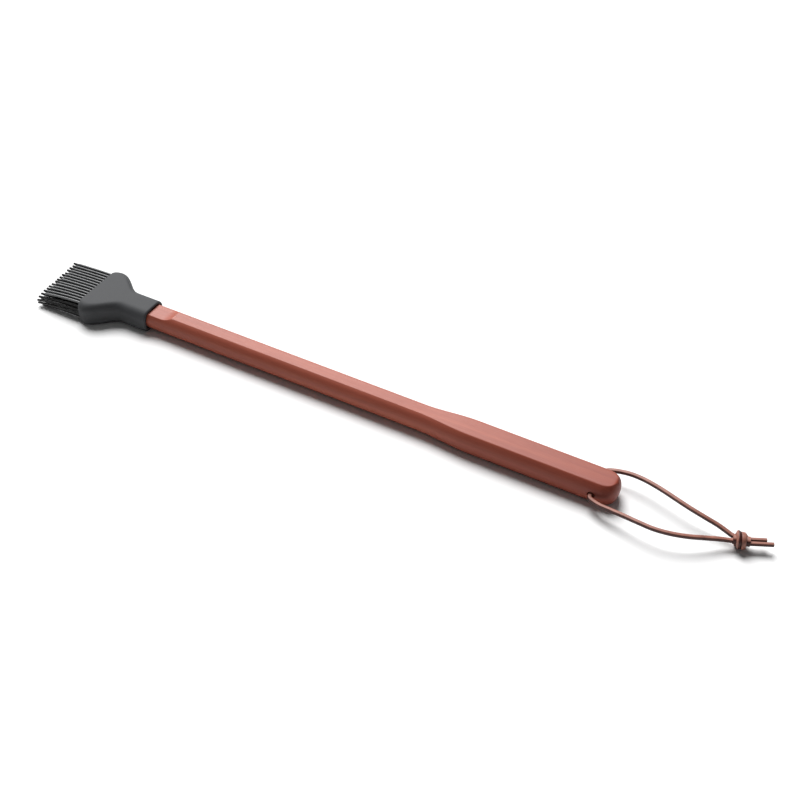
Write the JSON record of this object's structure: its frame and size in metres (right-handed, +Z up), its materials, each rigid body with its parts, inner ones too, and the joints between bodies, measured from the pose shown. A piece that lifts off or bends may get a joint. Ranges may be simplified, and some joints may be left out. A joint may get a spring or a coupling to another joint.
{
  "type": "basting brush",
  "caption": "Long-handled basting brush: turned wooden handle with planed flats, wide soft silicone head with rows of round bristles, and a knotted leather hanging lace.",
  "frame": {"origin": "on the table under the middle of the brush, halfway from the bristle tips to the butt; the lace is left out", "axes": "+X from the bristle tips to the butt of the handle, +Y across the handle, +Z up from the table to the upper planed flat"},
  "size_m": [0.5717, 0.0526, 0.0176],
  "materials": {
    "handle_wood": "satin lacquered, reddish brown, very fine grain",
    "head_silicone": "matte soft-touch dark grey moulded silicone",
    "bristle_silicone": "black moulded silicone",
    "lace_leather": "reddish brown cut leather lace, matte sides"
  },
  "bodies": {
    "handle": {"handle": "handle_wood"},
    "head": {"silicone_head": "head_silicone"},
    "row_1": {"bristle_row_1": "head_silicone"},
    "row_2": {"bristle_row_2": "bristle_silicone"},
    "row_3": {"bristle_row_3": "bristle_silicone"},
    "row_4": {"bristle_row_4": "bristle_silicone"},
    "row_5": {"bristle_row_5": "bristle_silicone"},
    "lace": {"lace_in_hole": "lace_leather", "lace_near_strand": "lace_leather", "lace_far_strand": "lace_leather", "lace_knot": "lace_leather", "lace_tail_long": "lace_leather", "lace_tail_short": "lace_leather"}
  },
  "joints": [
    {"name": "head_pull", "type": "slide", "parent": "handle", "child": "head", "axis": [-1, 0, 0], "range_m": [0, 0.04]},
    {"name": "bristle_bend", "type": "hinge", "parent": "head", "child": "row_3", "pos_m": [-0.193, 0, 0.0088], "axis": [0, 1, 0], "range_deg": [-25, 25], "stiffness_Nm_per_rad": 0.12},
    {"name": "bristle_bend_1", "type": "hinge", "parent": "head", "child": "row_1", "pos_m": [-0.193, 0, 0.0142], "axis": [0, 1, 0], "range_deg": [-25, 25], "stiffness_Nm_per_rad": 0.03},
    {"name": "bristle_bend_2", "type": "hinge", "parent": "head", "child": "row_2", "pos_m": [-0.193, 0, 0.0115], "axis": [0, 1, 0], "range_deg": [-25, 25], "stiffness_Nm_per_rad": 0.03},
    {"name": "bristle_bend_4", "type": "hinge", "parent": "head", "child": "row_4", "pos_m": [-0.193, 0, 0.0061], "axis": [0, 1, 0], "range_deg": [-25, 25], "stiffness_Nm_per_rad": 0.03},
    {"name": "bristle_bend_5", "type": "hinge", "parent": "head", "child": "row_5", "pos_m": [-0.193, 0, 0.0034], "axis": [0, 1, 0], "range_deg": [-25, 25], "stiffness_Nm_per_rad": 0.03},
    {"name": "lace_swing", "type": "hinge", "parent": "handle", "child": "lace", "pos_m": [0.219, 0, 0.0088], "axis": [0, 1, 0], "range_deg": [-110, 110]}
  ],
  "couplings": [
    {"joint": "bristle_bend_1", "follows": "bristle_bend", "ratio": 1},
    {"joint": "bristle_bend_2", "follows": "bristle_bend", "ratio": 1},
    {"joint": "bristle_bend_4", "follows": "bristle_bend", "ratio": 1},
    {"joint": "bristle_bend_5", "follows": "bristle_bend", "ratio": 1}
  ]
}
